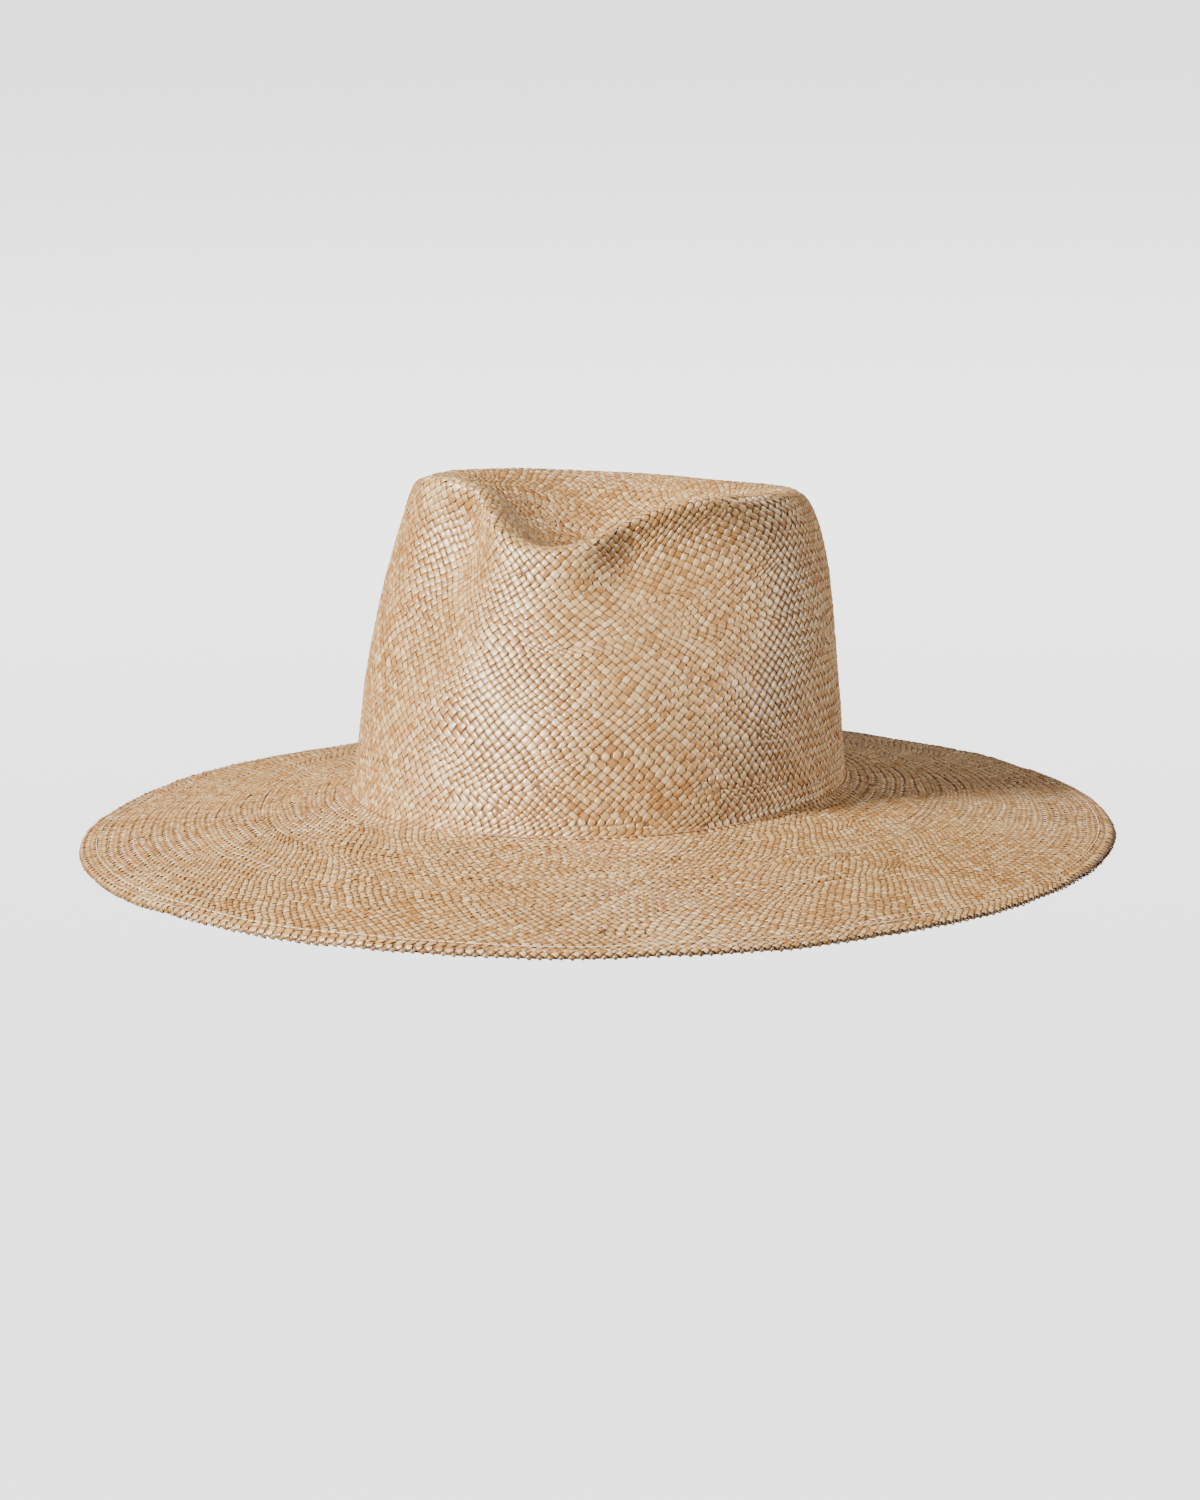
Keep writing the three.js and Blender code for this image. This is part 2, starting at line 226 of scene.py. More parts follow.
def makeSheet(form):
    angle = np.linspace(0, 2 * math.pi, roundCount, endpoint=False)
    controls = ribPoints(angle, form)
    crown = np.tensordot(splineWeights(np.linspace(1, 0, fineSteps), len(controls)), controls, 1)
    half = form["strawThickness"] / 2
    normal = ringNormals(crown)
    normal[0] = (0, 0, 1)
    crown = crown - normal * half
    # even steps along every rib, from the middle down to the crease
    steps = np.linalg.norm(np.diff(crown, axis=0), axis=-1)
    runs = np.concatenate([np.zeros((1, roundCount)), np.cumsum(steps, 0)])
    crownRun = runs[-1].mean()
    crownRows = int(round(crownRun / rowStep))
    even = np.empty((crownRows + 1, roundCount, 3))
    for k in range(roundCount):
        target = np.linspace(0, runs[-1, k], crownRows + 1)
        for c in range(3):
            even[:, k, c] = np.interp(target, runs[:, k], crown[:, k, c])
    # brim, the turn at its edge and the hem under it
    turn = form["hemDrop"] / 2
    brimRun = brimWidth - turn - half
    outwards = np.arange(1, int(brimRun / rowStep) + 1) * rowStep
    rows = []
    lift = form["frontLift"] * np.cos(angle) + form["endLift"] * np.cos(2 * angle)

    def brimRow(out, down):
        x, y = ovalPoint(angle, -out, -out, -out)
        return np.stack([x, y, -(brimDrop - lift) * (out / brimWidth) - half - down], -1)

    for out in outwards:
        rows.append(brimRow(out, 0))
    edge = outwards[-1]
    for k in range(1, form["hemTurnSteps"]):
        swing = math.pi * k / form["hemTurnSteps"]
        rows.append(brimRow(edge + turn * math.sin(swing), turn * (1 - math.cos(swing))))
    for k in range(int(form["hemWidth"] / rowStep)):
        rows.append(brimRow(edge - k * rowStep, form["hemDrop"]))
    sheet = np.concatenate([even, np.stack(rows)])
    corner = crownRows
    filletRows = form["filletRows"]
    sheet = smoothRows(sheet, corner - filletRows, corner + filletRows + 1, form["filletReach"])
    edgeRow = crownRows + len(outwards)
    x, y, z = sheet[..., 0], sheet[..., 1], sheet[..., 2]
    along = np.arange(len(sheet))
    brimFade, crownFade = form["waveFadeIn"]
    brimShare = np.clip((along - corner - brimFade) / (edgeRow - corner), 0, 1)[:, None]
    crownShare = np.clip((corner - along) / crownFade, 0, 1)[:, None]
    sheet[..., 2] += brimShare * slowWaves(x, y, 0 * z, *form["brimWave"])
    sheet[..., 2] += brimShare ** 3 * slowWaves(x, y, 0 * z, *form["edgeWave"])
    sheet += ringNormals(sheet) * (crownShare * slowWaves(x, y, z, *form["crownWave"]))[..., None]
    # even steps around every ring
    resampled = np.empty((len(sheet), turnCount, 3))
    lengths = np.empty(len(sheet))
    goal = np.linspace(0, 1, turnCount, endpoint=False)
    for k, ring in enumerate(sheet):
        closed = np.concatenate([ring, ring[:1]])
        run = np.concatenate([[0], np.cumsum(np.linalg.norm(np.diff(closed, axis=0), axis=1))])
        lengths[k] = run[-1]
        share = run / max(run[-1], 1e-9)
        if run[-1] < 1e-6:
            resampled[k] = ring[0]
            continue
        for c in range(3):
            resampled[k, :, c] = np.interp(goal, share, closed[:, c])
    normals = ringNormals(resampled)
    normals[0] = (0, 0, 1)
    normals[1:4] = normals[4:5].mean(1, keepdims=True)
    return resampled, normals, lengths, corner, edgeRow


sheetPoints, sheetNormals, ringLengths, creaseRow, edgeRow = makeSheet(strawShape)
rowCount = len(sheetPoints)
print("straw sheet", rowCount, "rows, crease", creaseRow, "edge", edgeRow)


def onSheet(turn, row, table):
    # smooth lookup: turn is a share of the way round, row a fractional row
    t = np.mod(turn, 1) * turnCount
    t0 = np.floor(t).astype(int)
    ft = (t - t0)[:, None]
    t0 %= turnCount
    t1 = (t0 + 1) % turnCount
    r = np.clip(row, 0, rowCount - 1.001)
    r0 = r.astype(int)
    fr = (r - r0)[:, None]
    low = table[r0, t0] * (1 - ft) + table[r0, t1] * ft
    high = table[r0 + 1, t0] * (1 - ft) + table[r0 + 1, t1] * ft
    return low * (1 - fr) + high * fr


# two lays of straws that cross over and under; lengths in millimetres
weaveSettings = {
    "pitch": 2.72,
    "startRow": 6,
    "firstJoin": 0.37,  # where the first new pair joins, as a share of a turn
    "joinRun": 5.0,
    "joinTail": 0.3,  # share of the join before the new straw shows
    "joinedEnough": 0.2,  # share of a full straw that the others cross over and under
    "spreadRun": 44.0,
    "spreadTracks": 8.0,
    "spreadNearMiddle": 0.5,  # most rows of a spread, as a share of the rows from the middle
    "spreadNearEdge": (1.9, 8),  # and as a share of the rows to the edge, and rows more
    "leastShare": 0.4,  # of its usual width that a squeezed straw keeps
    "slant": ((0, 45), (1.0, 45), (1.45, 43), (2.0, 38)),  # 1 at the crease, 2 at the edge
    "rise": 0.32,
    "brimRise": 0.42,
    "brimStart": 8,  # rows past the crease
    "thickness": 0.5,
    "fillOver": 1.08,
    "fillBetween": 0.9,
    "brimFill": 0.91,
    "widthLimits": (0.3, 4.0),
    "widthJitter": 0.09,
    "riseJitter": 0.22,
    "hiddenAt": -0.4,  # a straw this low lies under its neighbour
    "wander": 0.1875,
    "wanderWaves": 10,
    "wanderAround": (2, 22),
    "wanderDown": (0.03, 0.16),
    "calmRows": (60, 16, 24),  # at the middle, the crease and the edge
    "seed": 11,
}
goldenShare = 0.6180339887  # spaces the joins evenly round the hat
alwaysLaid = -1e6  # a row far before the first, for straws that start at the middle


def easeIn(share):
    share = np.clip(share, 0, 1)
    return share * share * (3 - 2 * share)


def planWeave(weave):
    # pairs of straws join as the hat grows wider; gives where each straw runs on every row
    rows = np.arange(rowCount)
    place = np.where(rows <= creaseRow, rows / creaseRow, 1 + (rows - creaseRow) / (edgeRow - creaseRow))
    slant = np.radians(np.interp(place, [p for p, _ in weave["slant"]], [a for _, a in weave["slant"]]))
    length = np.maximum(np.maximum.accumulate(ringLengths), 1.0)
    length[edgeRow:] = length[edgeRow]
    wanted = length * np.cos(slant) / weave["pitch"]
    first = 2 * int(round(wanted[weave["startRow"]] / 2))
    last = 2 * int(wanted[-1] / 2)
    joinRows = weave["joinRun"] / rowStep
    starts, pairs = [alwaysLaid] * first, []
    turn = weave["firstJoin"]
    for pair in range((last - first) // 2):
        middle = np.interp(first + 2 * pair + 1, wanted, rows)
        share, more = weave["spreadNearEdge"]
        nearEdge = share * (edgeRow - middle) + more
        spread = min(weave["spreadRun"] / rowStep, weave["spreadNearMiddle"] * middle, nearEdge)
        row = middle - spread / 2
        turn = (turn + goldenShare) % 1
        laid = (np.array(starts) <= row).astype(float)
        index = 2 * int(round(np.searchsorted(np.cumsum(laid) / laid.sum(), turn) / 2))
        starts[index:index] = [row, row]
        pairs = [(k + 2 if k >= index else k, r, sp) for k, r, sp in pairs] + [(index, row, spread)]
    starts = np.array(starts)
    joined = easeIn((rows[:, None] - starts[None]) / joinRows)
    # a new pair first takes its room from the straws beside it, then the whole ring evens out
    squeeze = np.zeros_like(joined)
    for index, row, spread in pairs:
        laid = (starts <= row).astype(float)
        laid[index:index + 2] = 1
        order = np.cumsum(laid)
        gap = np.abs(order - order[index] - 0.5)
        gap = np.minimum(gap, laid.sum() - gap)
        kernel = laid * np.exp(-(gap / min(weave["spreadTracks"], laid.sum() / 5)) ** 2)
        kernel /= kernel.sum()
        owed = easeIn((rows - row) / joinRows) - easeIn((rows - row) / spread)
        squeeze += 2 * np.maximum(owed, 0)[:, None] * kernel[None]
    weights = joined * np.maximum(1 - squeeze, weave["leastShare"])
    total = weights.sum(1, keepdims=True)
    edges = np.concatenate([np.zeros((rowCount, 1)), np.cumsum(weights, 1)], 1) / total
    middles = (edges[:, :-1] + edges[:, 1:]) / 2
    twist = np.concatenate([[0], np.cumsum(np.tan(slant[1:]) * rowStep / length[1:])])
    twist[: weave["startRow"]] = twist[weave["startRow"]]
    print("straws in each lay", first, "at the middle,", len(starts), "at the edge")
    return starts, joined, weights, total[:, 0], edges, middles, twist


weavePlan = planWeave(weaveSettings)


def wanderOn(turn, row, weave):
    # the lay of a hand weave drifts a little, the same for both directions
    generator = np.random.default_rng(weave["seed"])
    shiftTurn, shiftRow = 0, 0
    for k in range(weave["wanderWaves"]):
        around, down = generator.integers(*weave["wanderAround"]), generator.uniform(*weave["wanderDown"])
        phase = generator.uniform(0, 6.28, 2)
        shiftTurn = shiftTurn + np.sin(2 * math.pi * around * turn + down * row + phase[0])
        shiftRow = shiftRow + np.sin(2 * math.pi * around * turn - down * row + phase[1])
    middle, crease, edge = weave["calmRows"]
    calm = np.clip(row / middle, 0, 1) * np.clip(np.abs(row - edgeRow) / edge, 0, 1)
    calm = calm * np.clip(np.abs(row - creaseRow) / crease, 0.2, 1)
    length = np.interp(row, np.arange(rowCount), np.maximum(ringLengths, 20))
    reach = weave["wander"] * calm
    return turn + reach * shiftTurn / length, row + reach * shiftRow / rowStep


def layStraws(weave, side, seed):
    # side +1 winds one way and -1 the other; gives every straw's rings as arrays
    starts, joined, weights, total, edges, middles, twist = weavePlan
    generator = np.random.default_rng(seed)
    count = len(starts)
    ranks = np.arange(count + 1)
    straws = []
    for i in range(count):
        tone, widthShare = generator.uniform(0, 1), 1 + generator.normal() * weave["widthJitter"]
        begin = max(starts[i] + weave["joinTail"] * weave["joinRun"] / rowStep, weave["startRow"])
        rows = np.arange(math.ceil(begin), rowCount)
        if len(rows) < 5:
            continue
        turn = middles[rows, i] + side * twist[rows]
        other = middles[rows, i] + 2 * side * twist[rows]
        whole = np.floor(other)
        part = other - whole
        rank = np.array([np.interp(part[n], edges[row], ranks) for n, row in enumerate(rows)])
        rank = side * (rank - 0.5 + whole * count)
        rank = np.maximum.accumulate(rank)
        marks = np.arange(math.ceil(rank[0]), math.floor(rank[-1]) + 1)
        at = np.interp(marks, rank + np.arange(len(rank)) * 1e-7, rows)
        here = np.clip(np.round(at).astype(int), 0, rowCount - 1)
        keep = joined[here, np.mod(side * marks, count)] > weave["joinedEnough"]
        marks, at = marks[keep], at[keep]
        if len(marks) < 2:
            continue
        over = np.where(np.mod(i + marks, 2) == 0, 1.0, -1.0) * side
        sampleRows = np.empty(2 * len(at) + 1)
        sampleRows[1::2] = at
        sampleRows[2:-1:2] = (at[:-1] + at[1:]) / 2
        sampleRows[0], sampleRows[-1] = rows[0], rowCount - 1
        height = np.zeros(len(sampleRows))
        height[1::2] = over * (1 + generator.normal(size=len(at)) * weave["riseJitter"])
        fill = np.where(height != 0, weave["fillOver"], weave["fillBetween"])
        order = np.ones(len(sampleRows), bool)
        order[1:] = np.diff(sampleRows) > 0.05
        sampleRows, height, fill = sampleRows[order], height[order], fill[order]
        onBrim = sampleRows > creaseRow + weave["brimStart"]
        straws.append({
            "turn": np.interp(sampleRows, rows, turn),
            "row": sampleRows,
            "height": height,
            "fill": fill * widthShare * np.where(onBrim, weave["brimFill"], 1.0),
            "spacing": np.interp(sampleRows, rows, weights[rows, i] / total[rows]),
            "tone": tone,
            "block": generator.uniform(0, 1, len(sampleRows)),
        })
    return straws


sectionShape = {
    # once round a straw: a flat oval of six points
    "across": (-0.5, -0.3, 0.3, 0.5, 0.3, -0.3),
    "up": (0.0, 0.46, 0.46, 0.0, -0.46, -0.46),
    "way": (0.0, 0.2, 0.8, 1.0, 0.8, 0.2),  # share of the way across
    "face": (0, 1, 1, 0, -1, -1),  # outer face 1, inner face -1, edges 0
    # the height that a straw's edges take for the painted shade, as a share of the straw's own
    "edgeShadeHeight": 0.3,
}


def shapeStraws(weave, straws):
    # every straw's section points and tags, ring by ring
    for straw in straws:
        turn, row = wanderOn(straw["turn"], straw["row"], weave)
        centre = onSheet(turn, row, sheetPoints)
        normal = onSheet(turn, row, sheetNormals)
        normal /= np.linalg.norm(normal, axis=1, keepdims=True)
        step = 1.0 / turnCount
        ahead = onSheet(*wanderOn(straw["turn"] + step, straw["row"], weave), sheetPoints)
        ringWay = ahead - onSheet(*wanderOn(straw["turn"] - step, straw["row"], weave), sheetPoints)
        ringSize = np.linalg.norm(ringWay, axis=1) / (2 * step)
        ringWay /= np.linalg.norm(ringWay, axis=1, keepdims=True) + 1e-12
        travel = np.gradient(centre, axis=0)
        travel /= np.linalg.norm(travel, axis=1, keepdims=True) + 1e-12
        across = np.cross(normal, travel)
        across /= np.linalg.norm(across, axis=1, keepdims=True) + 1e-12
        lean = np.abs((across * ringWay).sum(1))
        width = straw["spacing"] * ringSize * lean * straw["fill"]
        width = np.clip(width, *weave["widthLimits"])
        rise = np.where(straw["row"] > creaseRow + weave["brimStart"], weave["brimRise"], weave["rise"])
        middle = centre + normal * (straw["height"] * rise)[:, None]
        section = [
            middle + across * (width * a)[:, None] + normal * (weave["thickness"] * u)
            for a, u in zip(sectionShape["across"], sectionShape["up"])
        ]
        run = np.concatenate([[0], np.cumsum(np.linalg.norm(np.diff(centre, axis=0), axis=1))])
        straw["section"] = np.stack(section, 1)
        onBrim = np.clip((straw["row"] - creaseRow) / 12, 0, 1)
        tones = np.full(len(run), straw["tone"])
        straw["tags"] = np.stack([run, tones, straw["block"], straw["height"], onBrim], 1)


def cutPlace(straw, row):
    # the first spot after a row where the straw is hidden under its neighbour
    place = np.searchsorted(straw["row"], row)
    if place == 0 or row >= rowCount - 1:
        return min(place, len(straw["row"]) - 1)
    while place < len(straw["row"]) - 1 and straw["height"][place] > weaveSettings["hiddenAt"]:
        place += 1
    return place


def showPiece(name, mesh):
    piece = bpy.data.objects.new(name, mesh)
    bpy.context.scene.collection.objects.link(piece)
    return piece


def ribbonMesh(name, straws, firstRow, lastRow):
    # one closed ribbon for each straw's stretch between two rows
    parts, tags, counts = [], [], []
    for straw in straws:
        first, last = cutPlace(straw, firstRow), cutPlace(straw, lastRow)
        if last - first < 1:
            continue
        parts.append(straw["section"][first:last + 1])
        tags.append(straw["tags"][first:last + 1])
        counts.append(last + 1 - first)
    vertices = (np.concatenate(parts) * mm).reshape(-1, 3)
    size = len(sectionShape["way"])
    k = np.arange(size)[None]
    n = (k + 1) % size
    faces, smooth, first = [], [], 0
    for count in counts:
        ring = first + np.arange(count - 1)[:, None] * size
        faces.append(np.stack([ring + k, ring + n, ring + size + n, ring + size + k], -1).reshape(-1, 4))
        last = first + (count - 1) * size
        faces.append(np.array([
            [first + 3, first + 2, first + 1, first], [first + 5, first + 4, first + 3, first],
            [last, last + 1, last + 2, last + 3], [last, last + 3, last + 4, last + 5],
        ]))
        smooth += [np.ones((count - 1) * size, bool), np.zeros(4, bool)]
        first += count * size
    faces = np.concatenate(faces)
    mesh = bpy.data.meshes.new(name)
    mesh.vertices.add(len(vertices))
    mesh.vertices.foreach_set("co", vertices.ravel())
    mesh.loops.add(faces.size)
    mesh.loops.foreach_set("vertex_index", faces.ravel())
    mesh.polygons.add(len(faces))
    mesh.polygons.foreach_set("loop_start", np.arange(0, faces.size, 4))
    mesh.polygons.foreach_set("use_smooth", np.concatenate(smooth))
    mesh.update(calc_edges=True)
    values = np.repeat(np.concatenate(tags), size, 0)
    way = np.tile(np.array(sectionShape["way"]), len(vertices) // size)
    # how far each face of a straw stands out on its own side of the weave, which sets the painted shade
    # where it dives under
    face = np.tile(np.array(sectionShape["face"]), len(vertices) // size)
    values[:, 3] = np.where(face == 0, sectionShape["edgeShadeHeight"] * np.abs(values[:, 3]), values[:, 3] * face)
    attribute = mesh.attributes.new("strawWay", "FLOAT_VECTOR", "POINT")
    attribute.data.foreach_set("vector", np.stack([values[:, 0], way, values[:, 1]], 1).ravel())
    attribute = mesh.attributes.new("blockToneAndShade", "FLOAT_VECTOR", "POINT")
    attribute.data.foreach_set("vector", np.stack(values[:, 2:5].T, 1).ravel())
    mesh.validate()
    print(name, len(counts), "straws,", 2 * len(faces), "triangles")
    return showPiece(name, mesh)


smoothLimit = 20000  # a piece with more faces keeps the shading it was made with


def joinPiece(piece, nodes, material):
    piece.data.materials.append(material)
    faceCount = len(piece.data.polygons)
    if faceCount < smoothLimit:
        piece.data.polygons.foreach_set("use_smooth", [True] * faceCount)
    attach(piece, "root")
    if nodes:
        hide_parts(*nodes)
    return piece


strawFinish = {
    "pale": (0.74, 0.53, 0.285),
    "usual": (0.56, 0.335, 0.13),
    "golden": (0.37, 0.165, 0.04),
    "stops": (0.4, 0.68, 0.98),
    # how much each source moves a spot's tone along the stops
    "strawShare": 0.3,
    "blockShare": 0.44,
    "fibreShare": 0.55,
    "patchShare": 0.22,
    # the painted shade colour, mixed in where a straw dives under and along its edges
    "paintedShadeColour": (0.13, 0.055, 0.015),
    "diveShade": (-0.1, 0.4, 0.34),  # painted shade where a straw dives under: darkest and lightest height, and the light left at the darkest
    "edge": (0.5, 0.3, 0.66),  # the same for the way out from a straw's middle: darker edges, partly the straw's own edge fibres and partly painted shade
    # how much stronger the painted shade is on the brim
    "brimShadeDeeper": 0.7,
    "patchScale": 30,
    "fibreScale": 1.6,
    "fibreStretch": (0.22, 5.5, 97.0),
    "roughness": (0.26, 0.46),
    "shine": 0.85,
    "fibreBump": 0.3,
    "fibreDepth": 0.0002,
}


def newMaterial(name):
    material = bpy.data.materials.new(name)
    material.use_nodes = True
    tree = material.node_tree
    shader = tree.nodes["Principled BSDF"]
    return material, tree, shader


def makeStraw(name, finish):
    material, tree, shader = newMaterial(name)
    nodes, links = tree.nodes, tree.links

    def calculate(operation, *values):
        node = nodes.new("ShaderNodeMath")
        node.operation = operation
        for socket, value in zip(node.inputs, values):
            if isinstance(value, (int, float)):
                socket.default_value = value
            else:
                links.new(value, socket)
        return node.outputs[0]

    def readTag(tag):
        attribute = nodes.new("ShaderNodeAttribute")
        attribute.attribute_name = tag
        split = nodes.new("ShaderNodeSeparateXYZ")
        links.new(attribute.outputs["Vector"], split.inputs[0])
        return attribute, split.outputs

    def makeNoise(vector, scale, detail):
        noise = nodes.new("ShaderNodeTexNoise")
        noise.inputs["Scale"].default_value = scale
        noise.inputs["Detail"].default_value = detail
        links.new(vector, noise.inputs["Vector"])
        return noise.outputs["Fac"]

    def fade(value, dark, light, least):
        spread = nodes.new("ShaderNodeMapRange")
        spread.interpolation_type = "SMOOTHSTEP"
        spread.inputs["From Min"].default_value = dark
        spread.inputs["From Max"].default_value = light
        spread.inputs["To Min"].default_value = least
        links.new(value, spread.inputs["Value"])
        return spread.outputs["Result"]

    way, wayParts = readTag("strawWay")
    blockTone, height, onBrim = readTag("blockToneAndShade")[1]
    stretch = nodes.new("ShaderNodeVectorMath")
    stretch.operation = "MULTIPLY"
    stretch.inputs[1].default_value = finish["fibreStretch"]
    links.new(way.outputs["Vector"], stretch.inputs[0])
    fibre = makeNoise(stretch.outputs[0], finish["fibreScale"], 3)
    place = nodes.new("ShaderNodeTexCoord")
    patch = makeNoise(place.outputs["Object"], finish["patchScale"], 2)
    # tone: the straw's own, the block's own, its fibres and a slow drift over the hat
    tone = calculate("MULTIPLY", wayParts["Z"], finish["strawShare"])
    tone = calculate("MULTIPLY_ADD", blockTone, finish["blockShare"], tone)
    tone = calculate("MULTIPLY_ADD", fibre, finish["fibreShare"], tone)
    tone = calculate("MULTIPLY_ADD", patch, finish["patchShare"], tone)
    ramp = nodes.new("ShaderNodeValToRGB")
    stops = ramp.color_ramp.elements
    stops.new(0.5)
    for stop, position, colour in zip(stops, finish["stops"], ("pale", "usual", "golden")):
        stop.position = position
        stop.color = (*finish[colour], 1)
    links.new(tone, ramp.inputs[0])
    # painted shade where a straw dives under its neighbour, and darker along its two edges, partly the edge
    # fibres' own colour and partly painted shade
    offCentre = calculate("ABSOLUTE", calculate("SUBTRACT", wayParts["Y"], 0.5))
    shade = calculate("MULTIPLY", fade(height, *finish["diveShade"]), fade(offCentre, *finish["edge"]))
    # the painted shade is stronger on the flat brim than on the crown, so its gaps show more plainly
    shade = calculate("POWER", shade, calculate("MULTIPLY_ADD", onBrim, finish["brimShadeDeeper"], 1.0))
    paintShade = nodes.new("ShaderNodeMix")
    paintShade.data_type = "RGBA"
    paintShade.inputs["A"].default_value = (*finish["paintedShadeColour"], 1)
    links.new(shade, paintShade.inputs["Factor"])
    links.new(ramp.outputs["Color"], paintShade.inputs["B"])
    links.new(paintShade.outputs["Result"], shader.inputs["Base Color"])
    rough = nodes.new("ShaderNodeMapRange")
    rough.inputs["To Min"].default_value = finish["roughness"][0]
    rough.inputs["To Max"].default_value = finish["roughness"][1]
    links.new(fibre, rough.inputs["Value"])
    links.new(rough.outputs["Result"], shader.inputs["Roughness"])
    relief = nodes.new("ShaderNodeBump")
    relief.inputs["Strength"].default_value = finish["fibreBump"]
    relief.inputs["Distance"].default_value = finish["fibreDepth"]
    links.new(fibre, relief.inputs["Height"])
    links.new(relief.outputs["Normal"], shader.inputs["Normal"])
    shader.inputs["Specular IOR Level"].default_value = finish["shine"]
    return material


strawMaterial = makeStraw("strawBlonde", strawFinish)


def makePlain(name, colour, roughness):
    material, tree, shader = newMaterial(name)
    shader.inputs["Base Color"].default_value = (*colour, 1)
    shader.inputs["Roughness"].default_value = roughness
    return material, tree, shader


print("straw material made")

# the cuts share the straws out between pieces of a fair size
ridgeRow = int(creaseRow * 0.48)
brimMiddleRow = (creaseRow + edgeRow) // 2 + 10
strawRegions = (
    ("crown_top", 0, ridgeRow, ()),
    ("crown_wall", ridgeRow, creaseRow, ("straw_crown",)),
    ("brim_inner", creaseRow, brimMiddleRow, ("straw_brim",)),
    ("brim_outer", brimMiddleRow, edgeRow, ()),
    ("hem", edgeRow, rowCount, ("brim_hem",)),
)
for side, lay in ((1, "left_lay"), (-1, "right_lay")):
    laidStraws = layStraws(weaveSettings, side, weaveSettings["seed"] + side)
    shapeStraws(weaveSettings, laidStraws)
    for region, firstRow, lastRow, nodes in strawRegions:
        piece = ribbonMesh(f"{region}_straws_{lay}", laidStraws, firstRow, lastRow)
        joinPiece(piece, nodes if side == 1 else (), strawMaterial)


wallFoot = 5  # below this height the wall rounds into the brim, so its shape is read here


def wallSpot(turn, height, setIn):
    # a point inside the crown's wall at a height above the crease, set in from the straw's middle
    turn, height, setIn = np.broadcast_arrays(turn, np.asarray(height, float), setIn)
    turn, height, setIn = turn.ravel(), height.ravel(), setIn.ravel()
    level = np.maximum(height, wallFoot)
    row = creaseRow - level / rowStep
    for k in range(6):
        row = row + (onSheet(turn, row, sheetPoints)[:, 2] - level) / rowStep
    point = onSheet(turn, row, sheetPoints)
    inward = -onSheet(turn, row, sheetNormals)
    inward[:, 2] = 0
    inward /= np.linalg.norm(inward, axis=1, keepdims=True)
    point[:, 2] = height
    return point + inward * setIn[:, None]


def placeGrid(shape, points):
    # a grid whose corners take the places in points[u, v]
    n, m = points.shape[0] - 1, points.shape[1] - 1
    corners = bmesh.ops.create_grid(shape, x_segments=n, y_segments=m, size=1)["verts"]
    for corner in corners:
        u = round((corner.co.x + 1) / 2 * n)
        v = round((corner.co.y + 1) / 2 * m)
        corner.co = points[u, v] * mm
    return corners


def finishPiece(name, shape):
    bmesh.ops.recalc_face_normals(shape, faces=shape.faces)
    mesh = bpy.data.meshes.new(name)
    shape.to_mesh(mesh)
    shape.free()
    return showPiece(name, mesh)


def closeGrids(outer, inner):
    # a closed strip between two grids of points
    shape = bmesh.new()
    placeGrid(shape, outer)
    placeGrid(shape, inner)
    rims = [edge for edge in shape.edges if edge.is_boundary]
    bmesh.ops.bridge_loops(shape, edges=rims)
    return shape, rims


def makeShell(name, outer, inner, edgeRound):
    shape, rims = closeGrids(outer, inner)
    bmesh.ops.bevel(
        shape, geom=rims, offset=edgeRound * mm, offset_type="OFFSET",
        segments=2, profile=0.5, affect="EDGES", clamp_overlap=True,
    )
    return finishPiece(name, shape)


def makeRing(name, points):
    # a closed ring of points[u, v] that meets itself both ways
    shape = bmesh.new()
    points = np.concatenate([points, points[:1]])
    points = np.concatenate([points, points[:, :1]], 1)
    placeGrid(shape, points)
    bmesh.ops.remove_doubles(shape, verts=shape.verts, dist=1e-6)
    return finishPiece(name, shape)


# painted shade behind the weave: a dark sheet that the gaps show
gapShadeLook = {"half": 0.04, "colour": (0.16, 0.085, 0.035), "roughness": 0.8, "turnStep": 8}
gapShadeMaterial = makePlain("strawShade", gapShadeLook["colour"], gapShadeLook["roughness"])[0]


def makeGapShade(name, firstRow, lastRow, step):
    # a dark thin closed sheet at the weave's middle, painted shade that shows through the gaps between
    # straws
    rows = list(range(max(firstRow, 1), lastRow, step)) + [lastRow]
    middle = sheetPoints[rows][:, ::gapShadeLook["turnStep"]]
    away = sheetNormals[rows][:, ::gapShadeLook["turnStep"]] * gapShadeLook["half"]
    section = np.concatenate([middle + away, (middle - away)[::-1]])
    piece = makeRing(name, section.swapaxes(0, 1))
    joinPiece(piece, (), gapShadeMaterial)


makeGapShade("crown_gap_shade", 0, creaseRow, 4)
makeGapShade("brim_gap_shade", creaseRow, edgeRow, 6)
print("straw pieces made")


def makeStitches(name, centres, ways, ups, lengths, thickness):
    # one plump stitch, repeated; each lies along its way with its up side outwards
    shape = bmesh.new()
    bmesh.ops.create_uvsphere(shape, u_segments=6, v_segments=5, radius=0.5)
    shape.verts.ensure_lookup_table()
    pattern = np.array([corner.co[:] for corner in shape.verts])
    faces = [[corner.index for corner in face.verts] for face in shape.faces]
    shape.free()
    ways = ways / np.linalg.norm(ways, axis=1, keepdims=True)
    sides = np.cross(ups, ways)
    sides /= np.linalg.norm(sides, axis=1, keepdims=True)
    ups = np.cross(ways, sides)
    lengths = np.broadcast_to(lengths, len(centres))[:, None]
    thickness = np.broadcast_to(thickness, len(centres))[:, None]
    places = (
        centres[:, None]
        + pattern[None, :, 2:3] * (ways * lengths)[:, None]
        + pattern[None, :, 0:1] * (sides * thickness)[:, None]
        + pattern[None, :, 1:2] * (ups * thickness)[:, None]
    )
    count = len(pattern)
    allFaces = [[k * count + corner for corner in face] for k in range(len(centres)) for face in faces]
    mesh = bpy.data.meshes.new(name)
    mesh.from_pydata((places.reshape(-1, 3) * mm).tolist(), [], allFaces)
    shape = bmesh.new()
    shape.from_mesh(mesh)
    bpy.data.meshes.remove(mesh)
    return finishPiece(name, shape)


stitchJitter = 0.04  # share of the pitch


